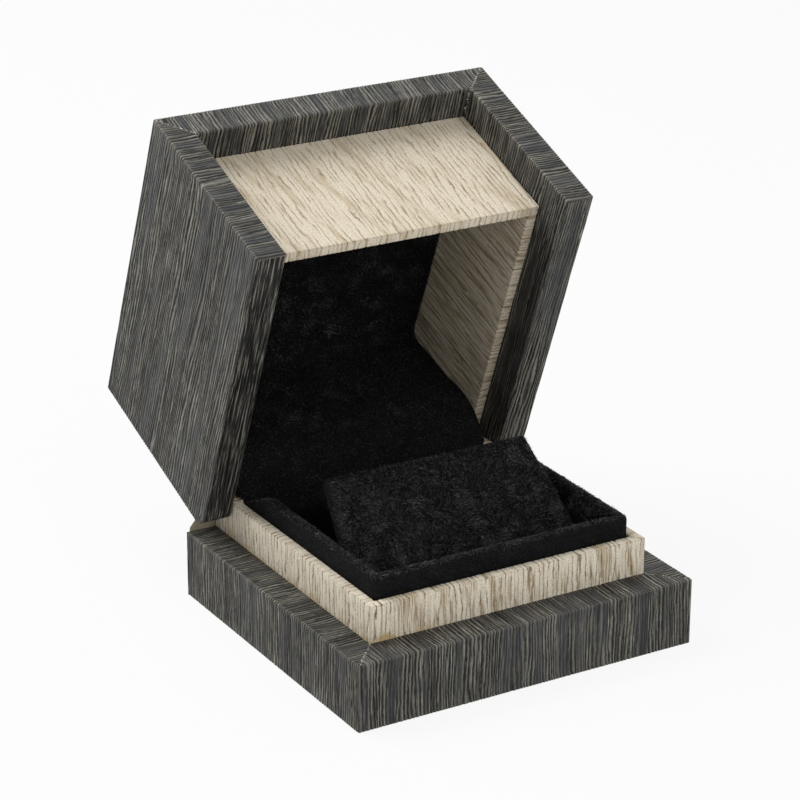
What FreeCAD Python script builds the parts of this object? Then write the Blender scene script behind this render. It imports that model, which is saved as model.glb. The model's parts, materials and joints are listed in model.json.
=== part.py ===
import FreeCAD, Part
import math
import os

# An earring box: a wrapped base with a plinth and a velvet tray, a hinged lid, and a tilting earring flap.
# Millimetres. X runs to the right, Y to the back and Z up. The origin is the centre of the underside.
# The lid is drawn shut and then turned to its open stop, which is how the box is stored.

# Overall sizes
box_width = 73.0
box_depth = 67.0
base_height = 13.5
lid_height = 43.6
open_angle = 69.0

# Boards and coverings
lid_board = 5.8
bottom_board = 2.0
thin_board = 1.8
card = 1.1
paper = 0.2
velvet = 0.5
strip_paper = 0.15

# Ledge and plinth of the base
ledge_front = 6.8
plinth_rise = 7.35
base_turn_in = 8.0
strip_lap = 7.5
strip_inset = 0.7
sheet_margin = 2.0

# Soft edges
edge_round = 0.5
oak_round = 0.4
velvet_round = 0.9
heel_round = 2.8

# Clearances
closing_gap = 0.1
cheek_clearance = 0.15
back_clearance = 0.1
rim_gap = 0.1
tray_gap = 0.1
swing_clearance = 0.4
lining_clearance = 0.4
glue_gap = 0.05

# Tray and earring flap
tray_rise = 4.05
back_wall_drop = 7.0
slope_run = 9.0
slope_drop = 4.0
velvet_turn_down = 8.0
shelf_depth = 11.1
crease_drop = 7.8
pad_length = 21.5
pad_top_width = 44.6
pad_side_gap = 0.45
pad_angle = 44.0
pad_clearance = 0.3
pad_corner = 1.2
prop_width = 14.0
prop_foot = 8.0
prop_reach = 11.0

# Lining of the lid
lining_foam = 3.1
back_foam = 1.0
velvet_fold = 3.0

# Hinge
hinge_inset = 1.1
hinge_relief = 0.3
barrel_above_board = 0.2
barrel_below_lid = 0.35
barrel_radius = 0.9
pin_radius = 0.4
pin_clearance = 0.05
leaf = 0.5
leaf_width = 40.0
leaf_height = 9.0
knuckle_gap = 0.2
spring_length = 6.0
spring_leg = 3.0
spring_wall = 0.35
screw_spread = 13.0
screw_radius = 0.6
screw_length = 4.5
screw_head_radius = 1.3
screw_head = 0.4
screw_clearance = 0.02

# Levels and lines that follow from the sizes above
half = box_width / 2
front = -box_depth / 2
back = box_depth / 2
cheek = lid_board + 2 * paper
thin_wall = thin_board + 2 * paper
plinth_half = half - cheek - cheek_clearance
plinth_front = front + ledge_front
plinth_top = base_height + plinth_rise
well_half = plinth_half - thin_wall
well_front = plinth_front + thin_wall
floor_level = 2 * paper + bottom_board
lid_bottom = base_height + closing_gap
lid_top = lid_bottom + lid_height
lid_back = back - back_clearance
lid_back_face = lid_back - paper - lid_board
cavity_half = half - cheek
cavity_top = lid_top - cheek
inner_half = cavity_half - thin_wall
rim_level = plinth_top + rim_gap
hinge_y = back - hinge_inset
hinge_z = rim_level - barrel_below_lid - barrel_radius
back_top = hinge_z - barrel_radius - barrel_above_board
back_face = back - paper - lid_board
lining_face = lid_back_face - back_foam - velvet
tray_half = well_half - tray_gap
tray_front = well_front + swing_clearance
tray_back = lining_face - lining_clearance
tray_rim = plinth_top + tray_rise
tray_wall = card + 2 * velvet
tray_inner_half = tray_half - tray_wall
tray_inner_front = tray_front + tray_wall
tray_inner_back = tray_back - tray_wall
floor_top = floor_level + card + velvet
crease_y = tray_inner_front + shelf_depth
crease_z = tray_rim - crease_drop
pad_thickness = card + 2 * velvet


def box(x0, x1, y0, y1, z0, z1):
    return Part.makeBox(x1 - x0, y1 - y0, z1 - z0, FreeCAD.Vector(x0, y0, z0))


def rod(radius, start, direction, length):
    return Part.makeCylinder(radius, length, FreeCAD.Vector(*start), FreeCAD.Vector(*direction))


def plate(outline, x0, x1):
    """A plate between two X planes; the outline is a list of (y, z) corners."""
    corners = [FreeCAD.Vector(x0, y, z) for y, z in outline]
    face = Part.Face(Part.makePolygon(corners + corners[:1]))
    return face.extrude(FreeCAD.Vector(x1 - x0, 0, 0))


def rounded(shape, radius, chosen):
    """Rounds the straight edges whose middle point and direction the test accepts."""
    edges = []
    for edge in shape.Edges:
        middle = edge.valueAt((edge.FirstParameter + edge.LastParameter) / 2)
        run = edge.Vertexes[-1].Point - edge.Vertexes[0].Point
        if run.Length > 0 and chosen(middle, run.normalize()):
            edges.append(edge)
    return shape.makeFillet(radius, edges)


def near(a, b):
    return abs(a - b) < 1e-4


def shut_to_open(shape):
    turned = shape.copy()
    turned.rotate(FreeCAD.Vector(0, hinge_y, hinge_z), FreeCAD.Vector(-1, 0, 0), open_angle)
    return turned


def save(name, shape):
    os.makedirs("parts", exist_ok=True)
    shape = shape.removeSplitter()
    shape.exportStep("parts/" + name + ".step")
    print(name, "solids", len(shape.Solids), "valid", shape.isValid(), "volume", round(shape.Volume, 1))


def save_lid(name, shape):
    save(name, shut_to_open(shape))


# Base boards: a bottom board, rails under the ledges and a taller back board that carries the hinge


def base_form(inset):
    """The base below its ledge, drawn in from its outside by the inset."""
    block = box(-half + inset, half - inset, front + inset, back - inset, paper + inset, base_height - inset)

    def outer_edge(middle, run):
        on_ledge = near(middle.z, base_height - inset) and not near(middle.y, back - inset)
        return near(abs(run.z), 1) or on_ledge
    return rounded(block, edge_round - inset, outer_edge)


base_core = base_form(paper)
board_line = plinth_front + paper
board_side = plinth_half - paper
rail_zone = box(-half, half, front, back, floor_level, base_height)
front_zone = box(-half, half, front, board_line, floor_level, base_height)
left_zone = box(-half, -board_side, board_line, back, floor_level, base_height)
right_zone = box(board_side, half, board_line, back, floor_level, base_height)
sheet_half = half - sheet_margin
save("underside_sheet", box(-sheet_half, sheet_half, front + sheet_margin, back - sheet_margin, 0, paper))
save("base_bottom_board", base_core.cut(rail_zone))
save("base_front_rail", base_core.common(front_zone))
save("base_left_rail", base_core.common(left_zone))
save("base_right_rail", base_core.common(right_zone))

screw_z = back_top - leaf_height / 2
lid_screw_z = rim_level + leaf_height / 2


def screw_pair(seat, z):
    """Two flat-headed screws that point to the back, heads in front of the seat."""
    screws = []
    for x in (-screw_spread, screw_spread):
        head = rod(screw_head_radius, (x, seat - screw_head, z), (0, 1, 0), screw_head)
        screws.append(head.fuse(rod(screw_radius, (x, seat, z), (0, 1, 0), screw_length)))
    return Part.makeCompound(screws)


def screw_holes(seat, z):
    radius = screw_radius + screw_clearance
    depth = leaf + screw_length
    holes = []
    for x in (-screw_spread, screw_spread):
        holes.append(rod(radius, (x, seat - leaf, z), (0, 1, 0), depth))
    return Part.makeCompound(holes)


back_board = box(-well_half, well_half, back_face, back - paper, floor_level, back_top)
save("base_back_board", back_board.cut(screw_holes(back_face - leaf, screw_z)))

# Dark paper over the rails and ledges, with a tab up the back board and a turn-in under the box
turn_half = half - base_turn_in
turned_under = box(-turn_half, turn_half, front + base_turn_in, back - base_turn_in, 0, 3 * paper)
inside_ledges = box(-plinth_half, plinth_half, plinth_front, back - paper, base_height - paper, base_height)
back_tab = box(-well_half, well_half, back - paper, back, base_height - edge_round, back_top)
save("base_wrap", base_form(0).cut(base_core).cut(inside_ledges).cut(turned_under).fuse(back_tab))

# Plinth: three thin boards that stand inside the rails, papered like light oak above the ledge


def plinth_form(inset, bottom):
    """The three-sided plinth wall, open to the back, drawn in by the inset."""
    top = plinth_top - inset
    block = box(-plinth_half + inset, plinth_half - inset, plinth_front + inset, back - paper, bottom, top)
    hollow = box(-well_half - inset, well_half + inset, well_front - inset, back, bottom - 1, top + 1)
    ring = block.cut(hollow)

    def soft_edge(middle, run):
        on_top = near(middle.z, top) and middle.y < back - paper - 1
        corner = near(abs(run.z), 1) and near(middle.y, plinth_front + inset)
        return on_top or corner
    ring = rounded(ring, oak_round - inset, soft_edge)
    return ring.cut(box(-half, half, hinge_y - hinge_relief, back, back_top, plinth_top + 1))


plinth_core = plinth_form(paper, floor_level)
front_board_zone = box(-half, half, front, board_line + thin_board, 0, plinth_top)
left_board_zone = box(-half, 0, board_line + thin_board, back, 0, plinth_top)
right_board_zone = box(0, half, board_line + thin_board, back, 0, plinth_top)
save("plinth_front_board", plinth_core.common(front_board_zone))
save("plinth_left_board", plinth_core.common(left_board_zone))
save("plinth_right_board", plinth_core.common(right_board_zone))
save("plinth_wrap", plinth_form(0, base_height - paper).cut(plinth_core))

# Tray: card walls and floor under one piece of plush. The side walls slope down at the back, where the lining
# comes in, and the back wall is lower still.


def back_slope(inset):
    """What the slope takes off the side walls, for a surface this far under the plush."""
    start = tray_back - slope_run
    end = tray_back + 1
    high = tray_rim + 1
    top = tray_rim - inset
    return plate([(start, top), (end, top - slope_drop * (end - start) / slope_run), (end, high), (start, high)],
                 -tray_half - 1, tray_half + 1)


wall_half = tray_half - velvet
wall_front = tray_front + velvet
wall_back = tray_back - velvet
wall_top = tray_rim - velvet
back_wall_top = tray_rim - back_wall_drop
room_half = wall_half - card
room_front = wall_front + card
room_back = wall_back - card
left_wall = box(-wall_half, -wall_half + card, wall_front, wall_back, floor_level, wall_top)
right_wall = box(wall_half - card, wall_half, wall_front, wall_back, floor_level, wall_top)
front_wall = box(-room_half, room_half, wall_front, room_front, floor_level, wall_top)
back_wall = box(-room_half, room_half, room_back, wall_back, floor_level, back_wall_top - velvet)
tray_floor = box(-room_half, room_half, room_front, room_back, floor_level, floor_level + card)
tray_cards = {
    "tray_left_wall": left_wall.cut(back_slope(velvet)),
    "tray_right_wall": right_wall.cut(back_slope(velvet)),
    "tray_front_wall": front_wall,
    "tray_back_wall": back_wall,
    "tray_floor": tray_floor,
}
for name, shape in tray_cards.items():
    save(name, shape)

velvet_bottom = plinth_top - velvet_turn_down
outside = box(-tray_half, tray_half, tray_front, tray_back, velvet_bottom, tray_rim)
hollow = box(-tray_inner_half, tray_inner_half, tray_inner_front, tray_inner_back, floor_top, tray_rim + 1)
low_back = box(-tray_inner_half, tray_inner_half, tray_inner_back, tray_back, back_wall_top, tray_rim + 1)
outside = outside.cut(hollow).cut(low_back).cut(back_slope(0))


def rim_edge(middle, run):
    upright = near(abs(run.z), 1) and near(middle.y, tray_front)
    sloping = near(run.x, 0) and 0.1 < abs(run.z) < 0.9
    return upright or sloping or (near(middle.z, tray_rim) and middle.y < tray_back - slope_run - 1)


outside = rounded(outside, velvet_round, rim_edge)
inside = box(-room_half, room_half, room_front, room_back, floor_level + card, velvet_bottom)
tray_velvet = outside.fuse(inside.cut(hollow))
for shape in tray_cards.values():
    tray_velvet = tray_velvet.cut(shape)
save("tray_velvet", tray_velvet)

# Plush that comes over the hinge and drops behind the tray
drop_front = tray_back + glue_gap
drop_top = back_top + leaf
lap_end = hinge_y - barrel_radius - hinge_relief
drop = box(-tray_half, tray_half, drop_front, drop_front + velvet, velvet_bottom, drop_top)
lap = box(-tray_half, tray_half, drop_front, lap_end, drop_top, drop_top + velvet)
save("hinge_velvet", drop.fuse(lap))

# Earring insert: a foam block and a card shelf in front of the crease, and the strut that the flap leans on
shelf_half = tray_inner_half - pad_side_gap
shelf_back = crease_y - pad_thickness / 2 - pad_clearance
shelf_top = crease_z + pad_thickness / 2
shelf_bottom = shelf_top - velvet - card
shelf_front = tray_inner_front + glue_gap
save("pad_block", box(-shelf_half, shelf_half, shelf_front, shelf_back, floor_top, shelf_bottom))
save("pad_shelf", box(-shelf_half, shelf_half, shelf_front, shelf_back, shelf_bottom, shelf_top - velvet))
save("shelf_velvet", box(-shelf_half, shelf_half, shelf_front, shelf_back, shelf_top - velvet, shelf_top))

tilt = math.radians(pad_angle)
prop_y = crease_y + prop_reach
prop_top = crease_z + prop_reach * math.tan(tilt) - pad_thickness / 2 / math.cos(tilt) - glue_gap
strut = box(-prop_width / 2, prop_width / 2, prop_y, prop_y + card, floor_top, prop_top)
foot = box(-prop_width / 2, prop_width / 2, prop_y, prop_y + prop_foot, floor_top, floor_top + card)
save("pad_prop", strut.fuse(foot))

# Earring flap: a tapered card under plush with a rounded heel on the crease, drawn flat and tilted up


def flap_form(inset, thickness):
    """The flap lying flat behind its crease."""
    low = -thickness / 2
    bottom_x = shelf_half - inset
    top_x = pad_top_width / 2 - inset
    far = pad_length - inset
    corners = [(-bottom_x, 0), (bottom_x, 0), (top_x, far), (-top_x, far), (-bottom_x, 0)]
    outline = Part.makePolygon([FreeCAD.Vector(x, crease_y + y, crease_z + low) for x, y in corners])
    leafed = Part.Face(outline).extrude(FreeCAD.Vector(0, 0, thickness))

    def top_corner(middle, run):
        return near(abs(run.z), 1) and middle.y > crease_y + far / 2
    leafed = rounded(leafed, pad_corner, top_corner)
    return leafed.fuse(rod(thickness / 2, (-bottom_x, crease_y, crease_z), (1, 0, 0), 2 * bottom_x))


def tilted(shape):
    turned = shape.copy()
    turned.rotate(FreeCAD.Vector(0, crease_y, crease_z), FreeCAD.Vector(1, 0, 0), pad_angle)
    return turned


flap_card = flap_form(velvet, card)
save("pad_card", tilted(flap_card))
save("pad_velvet", tilted(flap_form(0, pad_thickness).cut(flap_card)))

# Spring hinge: two bent leaves, knuckles on one pin, a coil spring in the middle
knuckle = (leaf_width - spring_length) / 4
leaf_end = hinge_y - barrel_radius - knuckle_gap
leaf_half = leaf_width / 2
outer_spans = [(-leaf_half, -leaf_half + knuckle), (leaf_half - knuckle, leaf_half)]
inner_end = leaf_half - knuckle - knuckle_gap
inner_spans = [(-inner_end, -spring_length / 2), (spring_length / 2, inner_end)]
leg_width = spring_wall


def knuckles(spans, bore, tab_low, tab_high):
    shapes = []
    for x0, x1 in spans:
        tab = box(x0, x1, leaf_end - leaf, hinge_y, tab_low, tab_high)
        barrel = tab.fuse(rod(barrel_radius, (x0, hinge_y, hinge_z), (1, 0, 0), x1 - x0))
        shapes.append(barrel.cut(rod(bore, (x0, hinge_y, hinge_z), (1, 0, 0), x1 - x0)))
    return shapes


base_leaf = box(-leaf_half, leaf_half, back_face - leaf, back_face, back_top - leaf_height, back_top)
base_leaf = base_leaf.fuse(box(-leaf_half, leaf_half, back_face - leaf, leaf_end, back_top, back_top + leaf))
for shape in knuckles(outer_spans, pin_radius, back_top, back_top + leaf):
    base_leaf = base_leaf.fuse(shape)
base_leaf = base_leaf.cut(screw_holes(back_face - leaf, screw_z))
leg_slot = box(-leg_width, leg_width, hinge_y - spring_leg - knuckle_gap, hinge_y, back_top, back_top + leaf)
save("hinge_base_leaf", base_leaf.cut(leg_slot))
save("base_leaf_screws", screw_pair(back_face - leaf, screw_z))
save("hinge_pin", rod(pin_radius, (-leaf_half, hinge_y, hinge_z), (1, 0, 0), leaf_width))

coil_bore = pin_radius + pin_clearance
coil_half = spring_length / 2 - knuckle_gap
coil = rod(coil_bore + spring_wall, (-coil_half, hinge_y, hinge_z), (1, 0, 0), 2 * coil_half)
leg = box(-leg_width / 2, leg_width / 2, hinge_y - spring_leg, hinge_y, back_top, back_top + leaf)
coil = coil.fuse(leg).cut(rod(coil_bore, (-coil_half, hinge_y, hinge_z), (1, 0, 0), 2 * coil_half))
save("hinge_spring", coil)

leaf_face = lid_back_face - leaf
lid_leaf = box(-leaf_half, leaf_half, leaf_face, lid_back_face, rim_level, rim_level + leaf_height)
lid_leaf = lid_leaf.fuse(box(-leaf_half, leaf_half, leaf_face, leaf_end, rim_level - leaf, rim_level))
for shape in knuckles(inner_spans, coil_bore, rim_level - leaf - barrel_below_lid, rim_level):
    lid_leaf = lid_leaf.fuse(shape)
lid_leaf = lid_leaf.cut(screw_holes(leaf_face, lid_screw_z))
save_lid("hinge_lid_leaf", lid_leaf)
save_lid("lid_leaf_screws", screw_pair(leaf_face, lid_screw_z))

# Paper hinge on the back: the lower end stands up behind the ledge corners, which are trimmed slantwise
strip_half = half - strip_inset
strip_corners = [(-strip_half, base_height - strip_lap), (strip_half, base_height - strip_lap),
                 (strip_half, base_height), (plinth_half, back_top), (-plinth_half, back_top),
                 (-strip_half, base_height)]
outline = [FreeCAD.Vector(x, back, z) for x, z in strip_corners]
base_strip = Part.Face(Part.makePolygon(outline + outline[:1])).extrude(FreeCAD.Vector(0, strip_paper, 0))
save("base_hinge_strip", base_strip)
save_lid("lid_hinge_strip", box(-strip_half, strip_half, lid_back, lid_back + strip_paper, rim_level,
                                rim_level + strip_lap))

# Lid boards: a top board on two cheeks, with a back board between the inner panels


def lid_form(inset):
    """The lid's outer shell of a top and two cheeks, open in front and behind, drawn in by the inset."""
    low = lid_bottom + inset
    high = lid_top - inset
    side = half - inset
    near_face = front + inset
    far_face = lid_back - inset
    inner_side = cavity_half + inset
    block = box(-side, side, near_face, far_face, low, high)
    shell = block.cut(box(-inner_side, inner_side, front - 1, back + 1, low - 1, cavity_top + inset))

    def heel_edge(middle, run):
        return near(abs(run.x), 1) and near(middle.y, far_face) and near(middle.z, low)
    shell = rounded(shell, heel_round - inset, heel_edge)

    def soft_edge(middle, run):
        on_front = near(middle.y, near_face)
        on_top = near(middle.z, high)
        on_rim = near(middle.z, low)
        return on_front or on_top or on_rim
    return rounded(shell, edge_round - inset, soft_edge)


lid_core = lid_form(paper)
board_bottom = cavity_top + paper
save_lid("lid_top_board", lid_core.common(box(-half, half, front, back, board_bottom, lid_top)))
save_lid("lid_left_cheek", lid_core.common(box(-half, 0, front, back, lid_bottom, board_bottom)))
save_lid("lid_right_cheek", lid_core.common(box(0, half, front, back, lid_bottom, board_bottom)))

wrap_half = cavity_half + paper
lid_wrap = lid_form(0).cut(lid_core)
lid_wrap = lid_wrap.fuse(box(-wrap_half, wrap_half, lid_back - paper, lid_back, rim_level, board_bottom))
save_lid("lid_wrap", lid_wrap)

back_board = box(-inner_half, inner_half, lid_back_face, lid_back - paper, rim_level, cavity_top)
save_lid("lid_back_board", back_board.cut(screw_holes(leaf_face, lid_screw_z)))

# Inner panels of the lid: they meet the plinth when the lid is shut, and are papered to match it


def inner_form(inset):
    """The three inner panels as one wall, open to the back, drawn in by the inset."""
    low = rim_level + inset
    side = cavity_half - inset
    end = hinge_y - hinge_relief - inset
    block = box(-side, side, plinth_front + inset, end, low, cavity_top)
    hollow = box(-inner_half - inset, inner_half + inset, well_front - inset, back, low - 1, cavity_top + 1)
    ring = block.cut(hollow)

    def rim_edge(middle, run):
        return near(middle.z, low) and middle.y < end - 1
    return rounded(ring, oak_round - inset, rim_edge)


inner_core = inner_form(paper)
panel_line = well_front - paper
save_lid("inner_front_panel", inner_core.common(box(-half, half, front, panel_line, lid_bottom, cavity_top)))
save_lid("inner_left_panel", inner_core.common(box(-half, 0, panel_line, back, lid_bottom, cavity_top)))
save_lid("inner_right_panel", inner_core.common(box(0, half, panel_line, back, lid_bottom, cavity_top)))
save_lid("inner_wrap", inner_form(0).cut(inner_core))

# Lining of the lid: card and foam under plush on the top, foam and plush down the back
lining_half = inner_half - glue_gap
lining_front = well_front + glue_gap
foam_top = cavity_top - card
foam_bottom = foam_top - lining_foam
lining_level = foam_bottom - velvet
fold_bottom = rim_level - leaf - glue_gap - velvet
plush_back = lining_face + velvet
save_lid("lining_card", box(-lining_half, lining_half, lining_front, lid_back_face, foam_top, cavity_top))
foam_half = lining_half - velvet
foam = box(-foam_half, foam_half, lining_front + velvet, plush_back, foam_bottom, foam_top)
save_lid("lining_foam", foam)
foam_start = rim_level + leaf_height + glue_gap
save_lid("back_foam", box(-lining_half, lining_half, plush_back, lid_back_face, foam_start, foam_top))
plush = box(-lining_half, lining_half, lining_front, plush_back, lining_level, foam_top)
plush = plush.fuse(box(-lining_half, lining_half, lining_face, plush_back, rim_level, lining_level))
plush = plush.fuse(box(-tray_half, tray_half, lining_face, plush_back, fold_bottom, rim_level))
plush = plush.fuse(box(-tray_half, tray_half, lining_face, lining_face + velvet_fold, fold_bottom,
                       fold_bottom + velvet))
save_lid("lid_velvet", plush.cut(foam))
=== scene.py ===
import json
import math

import bmesh
import bpy
from mathutils import Matrix, Vector


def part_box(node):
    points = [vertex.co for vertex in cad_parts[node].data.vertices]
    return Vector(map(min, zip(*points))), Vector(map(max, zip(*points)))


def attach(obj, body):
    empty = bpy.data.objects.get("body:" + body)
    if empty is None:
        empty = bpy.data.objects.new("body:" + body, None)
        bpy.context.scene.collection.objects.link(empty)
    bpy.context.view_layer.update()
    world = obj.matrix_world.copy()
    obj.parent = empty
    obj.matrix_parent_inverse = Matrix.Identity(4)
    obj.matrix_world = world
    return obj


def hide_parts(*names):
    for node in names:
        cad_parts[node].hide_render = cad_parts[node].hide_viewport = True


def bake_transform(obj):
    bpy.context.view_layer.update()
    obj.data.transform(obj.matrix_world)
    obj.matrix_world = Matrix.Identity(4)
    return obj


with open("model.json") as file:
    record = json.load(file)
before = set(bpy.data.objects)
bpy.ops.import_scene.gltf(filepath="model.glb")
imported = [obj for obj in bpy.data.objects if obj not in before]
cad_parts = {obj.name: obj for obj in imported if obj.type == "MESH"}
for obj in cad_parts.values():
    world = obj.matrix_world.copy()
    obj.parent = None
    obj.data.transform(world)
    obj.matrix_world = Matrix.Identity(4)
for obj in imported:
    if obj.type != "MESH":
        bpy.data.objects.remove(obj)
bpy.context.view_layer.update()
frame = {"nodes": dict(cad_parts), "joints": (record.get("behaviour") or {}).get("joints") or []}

# The boards inside the box are raw brown fibre, cut square and glued, with grey card and black foam
# between them and one sheet of plain black paper under the base. Each is already a solid of its own in
# the frame, so it only needs its finish.
MM = 0.001


class Wire:
    """A socket in a node tree. Arithmetic on it adds Math nodes, and node() adds any other kind."""

    def __init__(self, tree, socket=None):
        self.tree = tree
        self.socket = socket

    def node(self, kind, settings=None, inputs=None, out=None):
        made = self.tree.nodes.new(kind)
        for name, value in (settings or {}).items():
            setattr(made, name, value)
        for name, value in (inputs or {}).items():
            if isinstance(name, int):
                socket = made.inputs[name]
            else:
                socket = next(s for s in made.inputs if s.enabled and s.name == name)
            if isinstance(value, Wire):
                self.tree.links.new(value.socket, socket)
            else:
                socket.default_value = value
        shown = [s for s in made.outputs if s.enabled and out in (None, s.name)]
        return Wire(self.tree, shown[0] if shown else None)

    def also(self, name):
        """Another output of the same node."""
        outputs = self.socket.node.outputs
        return Wire(self.tree, next(s for s in outputs if s.enabled and s.name == name))

    def maths(self, operation, *values):
        return self.node("ShaderNodeMath", {"operation": operation}, dict(enumerate(values)))

    def vectors(self, operation, inputs):
        return self.node("ShaderNodeVectorMath", {"operation": operation}, inputs)

    def __add__(self, other):
        return self.maths("ADD", self, other)

    def __sub__(self, other):
        return self.maths("SUBTRACT", self, other)

    def __rsub__(self, other):
        return self.maths("SUBTRACT", other, self)

    def __mul__(self, other):
        return self.maths("MULTIPLY", self, other)

    def __truediv__(self, other):
        return self.maths("DIVIDE", self, other)

    def __rtruediv__(self, other):
        return self.maths("DIVIDE", other, self)

    __radd__ = __add__
    __rmul__ = __mul__

    def smooth(self, low, high):
        """0 below low, 1 above high, and a soft step between them."""
        span = {"Value": self, "From Min": low, "From Max": high}
        return self.node("ShaderNodeMapRange", {"interpolation_type": "SMOOTHSTEP"}, span)

    def tint(self, a, b):
        """The colour a where this is 0, and b where it is 1."""
        return self.node("ShaderNodeMix", {"data_type": "RGBA"}, {"Factor": self, "A": a, "B": b})


def shade(red, green, blue):
    """A colour as a screen shows it, 0 to 255, in the linear light that a material takes."""
    linear = []
    for level in (red, green, blue):
        level /= 255
        linear.append(level / 12.92 if level < 0.04045 else ((level + 0.055) / 1.055) ** 2.4)
    return (*linear, 1.0)


def material(name):
    made = bpy.data.materials.new(name)
    made.use_nodes = True
    made.node_tree.nodes.clear()
    return made, Wire(made.node_tree)


def speckle(wire, place, size, detail=2.0):
    """Even noise whose grains are about this many millimetres."""
    settings = {"Vector": place, "Scale": 1 / (size * MM), "Detail": detail}
    return wire.node("ShaderNodeTexNoise", None, settings)


def coat(wire, sockets, height=None, depth=0.05):
    """Ends a material in one surface. The height, 0 to 1, is felt as a relief of this many mm."""
    sockets = dict(sockets)
    if height is not None:
        relief = {"Strength": 1.0, "Distance": depth * MM, "Height": height}
        sockets["Normal"] = wire.node("ShaderNodeBump", None, relief)
    skin = wire.node("ShaderNodeBsdfPrincipled", None, sockets)
    wire.node("ShaderNodeOutputMaterial", None, {"Surface": skin})


def pressed_stock(name, dark, light, grain_size, roughness):
    """Boards, cards and foams: crumbs of two tones with a fine tooth."""
    made, wire = material(name)
    place = wire.node("ShaderNodeTexCoord", None, None, "Object")
    crumbs = speckle(wire, place, grain_size, 4.0)
    clouds = speckle(wire, place, grain_size * 9)
    tone = (crumbs * 0.7 + clouds * 0.3).smooth(0.32, 0.68)
    surface = {"Base Color": tone.tint(dark, light), "Roughness": roughness - tone * 0.15}
    coat(wire, surface, crumbs, 0.06)
    return made


finishes = {
    "mdf": pressed_stock("raw fibreboard", shade(132, 104, 74), shade(186, 156, 118), 0.25, 0.9),
    "greyboard": pressed_stock("grey card", shade(112, 110, 104), shade(152, 149, 141), 0.18, 0.85),
    "foam": pressed_stock("black foam", shade(38, 38, 40), shade(78, 78, 82), 0.45, 0.95),
    "black_paper": pressed_stock("black paper", shade(22, 22, 23), shade(40, 40, 41), 0.12, 0.7),
}


# Dark paper with a pressed wood grain covers the base. One strip runs round the front and both sides,
# from under the bottom up the side and over the ledge to the plinth, and is mitred at the two front
# corners. A second sheet closes the back and goes up behind the hinge.
paper = 0.2
edge_round = 0.42
bottom_round = 0.25
turn_in = 8.0
base_foot = 0.07
turn_steps = 4
grain_pitch = 0.12
far_from_mitre = 9.0
tiny = 1e-6


def box_of(node):
    return [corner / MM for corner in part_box(node)]


class Row:
    """One line along a folded sheet, at a depth into the box and a height, and the way out of it there.

    girth is how far across the sheet it lies, and edge is 1 where the sheet turns over an edge.
    """

    def __init__(self, depth, height, out, girth, edge, shown=True):
        self.depth, self.height, self.out = depth, height, out
        self.girth, self.edge, self.shown = girth, edge, shown


def fold_rows(corners):
    """Rows of a sheet folded clockwise round what it covers.

    A corner is (depth, height, radius, step between the rows from it to the next corner).
    """
    places = [Vector(corner[:2]) for corner in corners]
    ways = [(b - a).normalized() for a, b in zip(places, places[1:])]
    ring = (places[0] - places[-1]).length < tiny
    rows = []
    girth = 0.0
    for k, (place, (_, _, radius, step)) in enumerate(zip(places, corners)):
        way = ways[k - 1] if k or ring else ways[0]
        after = ways[k % len(ways)] if k < len(ways) or ring else ways[-1]
        side = Vector((-way.y, way.x))
        if radius:
            centre = place - (way + side) * radius
            for i in range(turn_steps + 1):
                angle = math.pi / 2 * i / turn_steps
                out = side * math.cos(angle) + way * math.sin(angle)
                rows.append(Row(*(centre + out * radius), out, girth + radius * angle, 1.0))
            girth += radius * math.pi / 2
        else:
            straight = (way - after).length < tiny
            out = side if straight else side + Vector((-after.y, after.x))
            rows.append(Row(*place, out, girth, 0.0 if straight and 0 < k < len(ways) else 1.0))
        if k < len(ways):
            start = place + after * radius
            length = (places[k + 1] - place).length - radius - corners[k + 1][2]
            pieces = max(1, math.ceil(length / step))
            for i in range(1, pieces):
                spot = start + after * (length * i / pieces)
                rows.append(Row(*spot, Vector((-after.y, after.x)), girth + length * i / pieces, 0.0))
            girth += length
    return rows


def lined(rows, thickness):
    """The rows, then those of the sheet's back at its ends and folds alone, and the first row again."""
    back = []
    for row in reversed(rows):
        at_fold = abs(abs(row.out.x) - abs(row.out.y)) < 1e-4
        if at_fold or row in (rows[0], rows[-1]):
            inner = Vector((row.depth, row.height)) - row.out * thickness
            back.append(Row(*inner, row.out, row.girth, 0.0, False))
    return rows + back + rows[:1]


class Side:
    """A straight side of a box that a folded sheet follows.

    A cut says how far a row stops short of that end, and depth how far in from the side it lies.
    """

    def __init__(self, start, along, inward, length, first_cut=None, last_cut=None, depth=None):
        self.start, self.along, self.inward = Vector(start), Vector(along), Vector(inward)
        self.length = length
        self.first_cut = first_cut or (lambda row: 0.0)
        self.last_cut = last_cut or (lambda row: 0.0)
        self.depth = depth or (lambda row: row.depth)


def left_front_right(low, high, back, cut=None, side_depth=None):
    """Three sides of a box. cut is made at the back of both side walls, and side_depth is theirs."""
    deep = back - low.y
    return [
        Side((low.x, back), (0, -1), (1, 0), deep, cut, None, side_depth),
        Side((low.x, low.y), (1, 0), (0, 1), high.x - low.x),
        Side((high.x, low.y), (0, 1), (-1, 0), deep, None, cut, side_depth),
    ]


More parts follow.
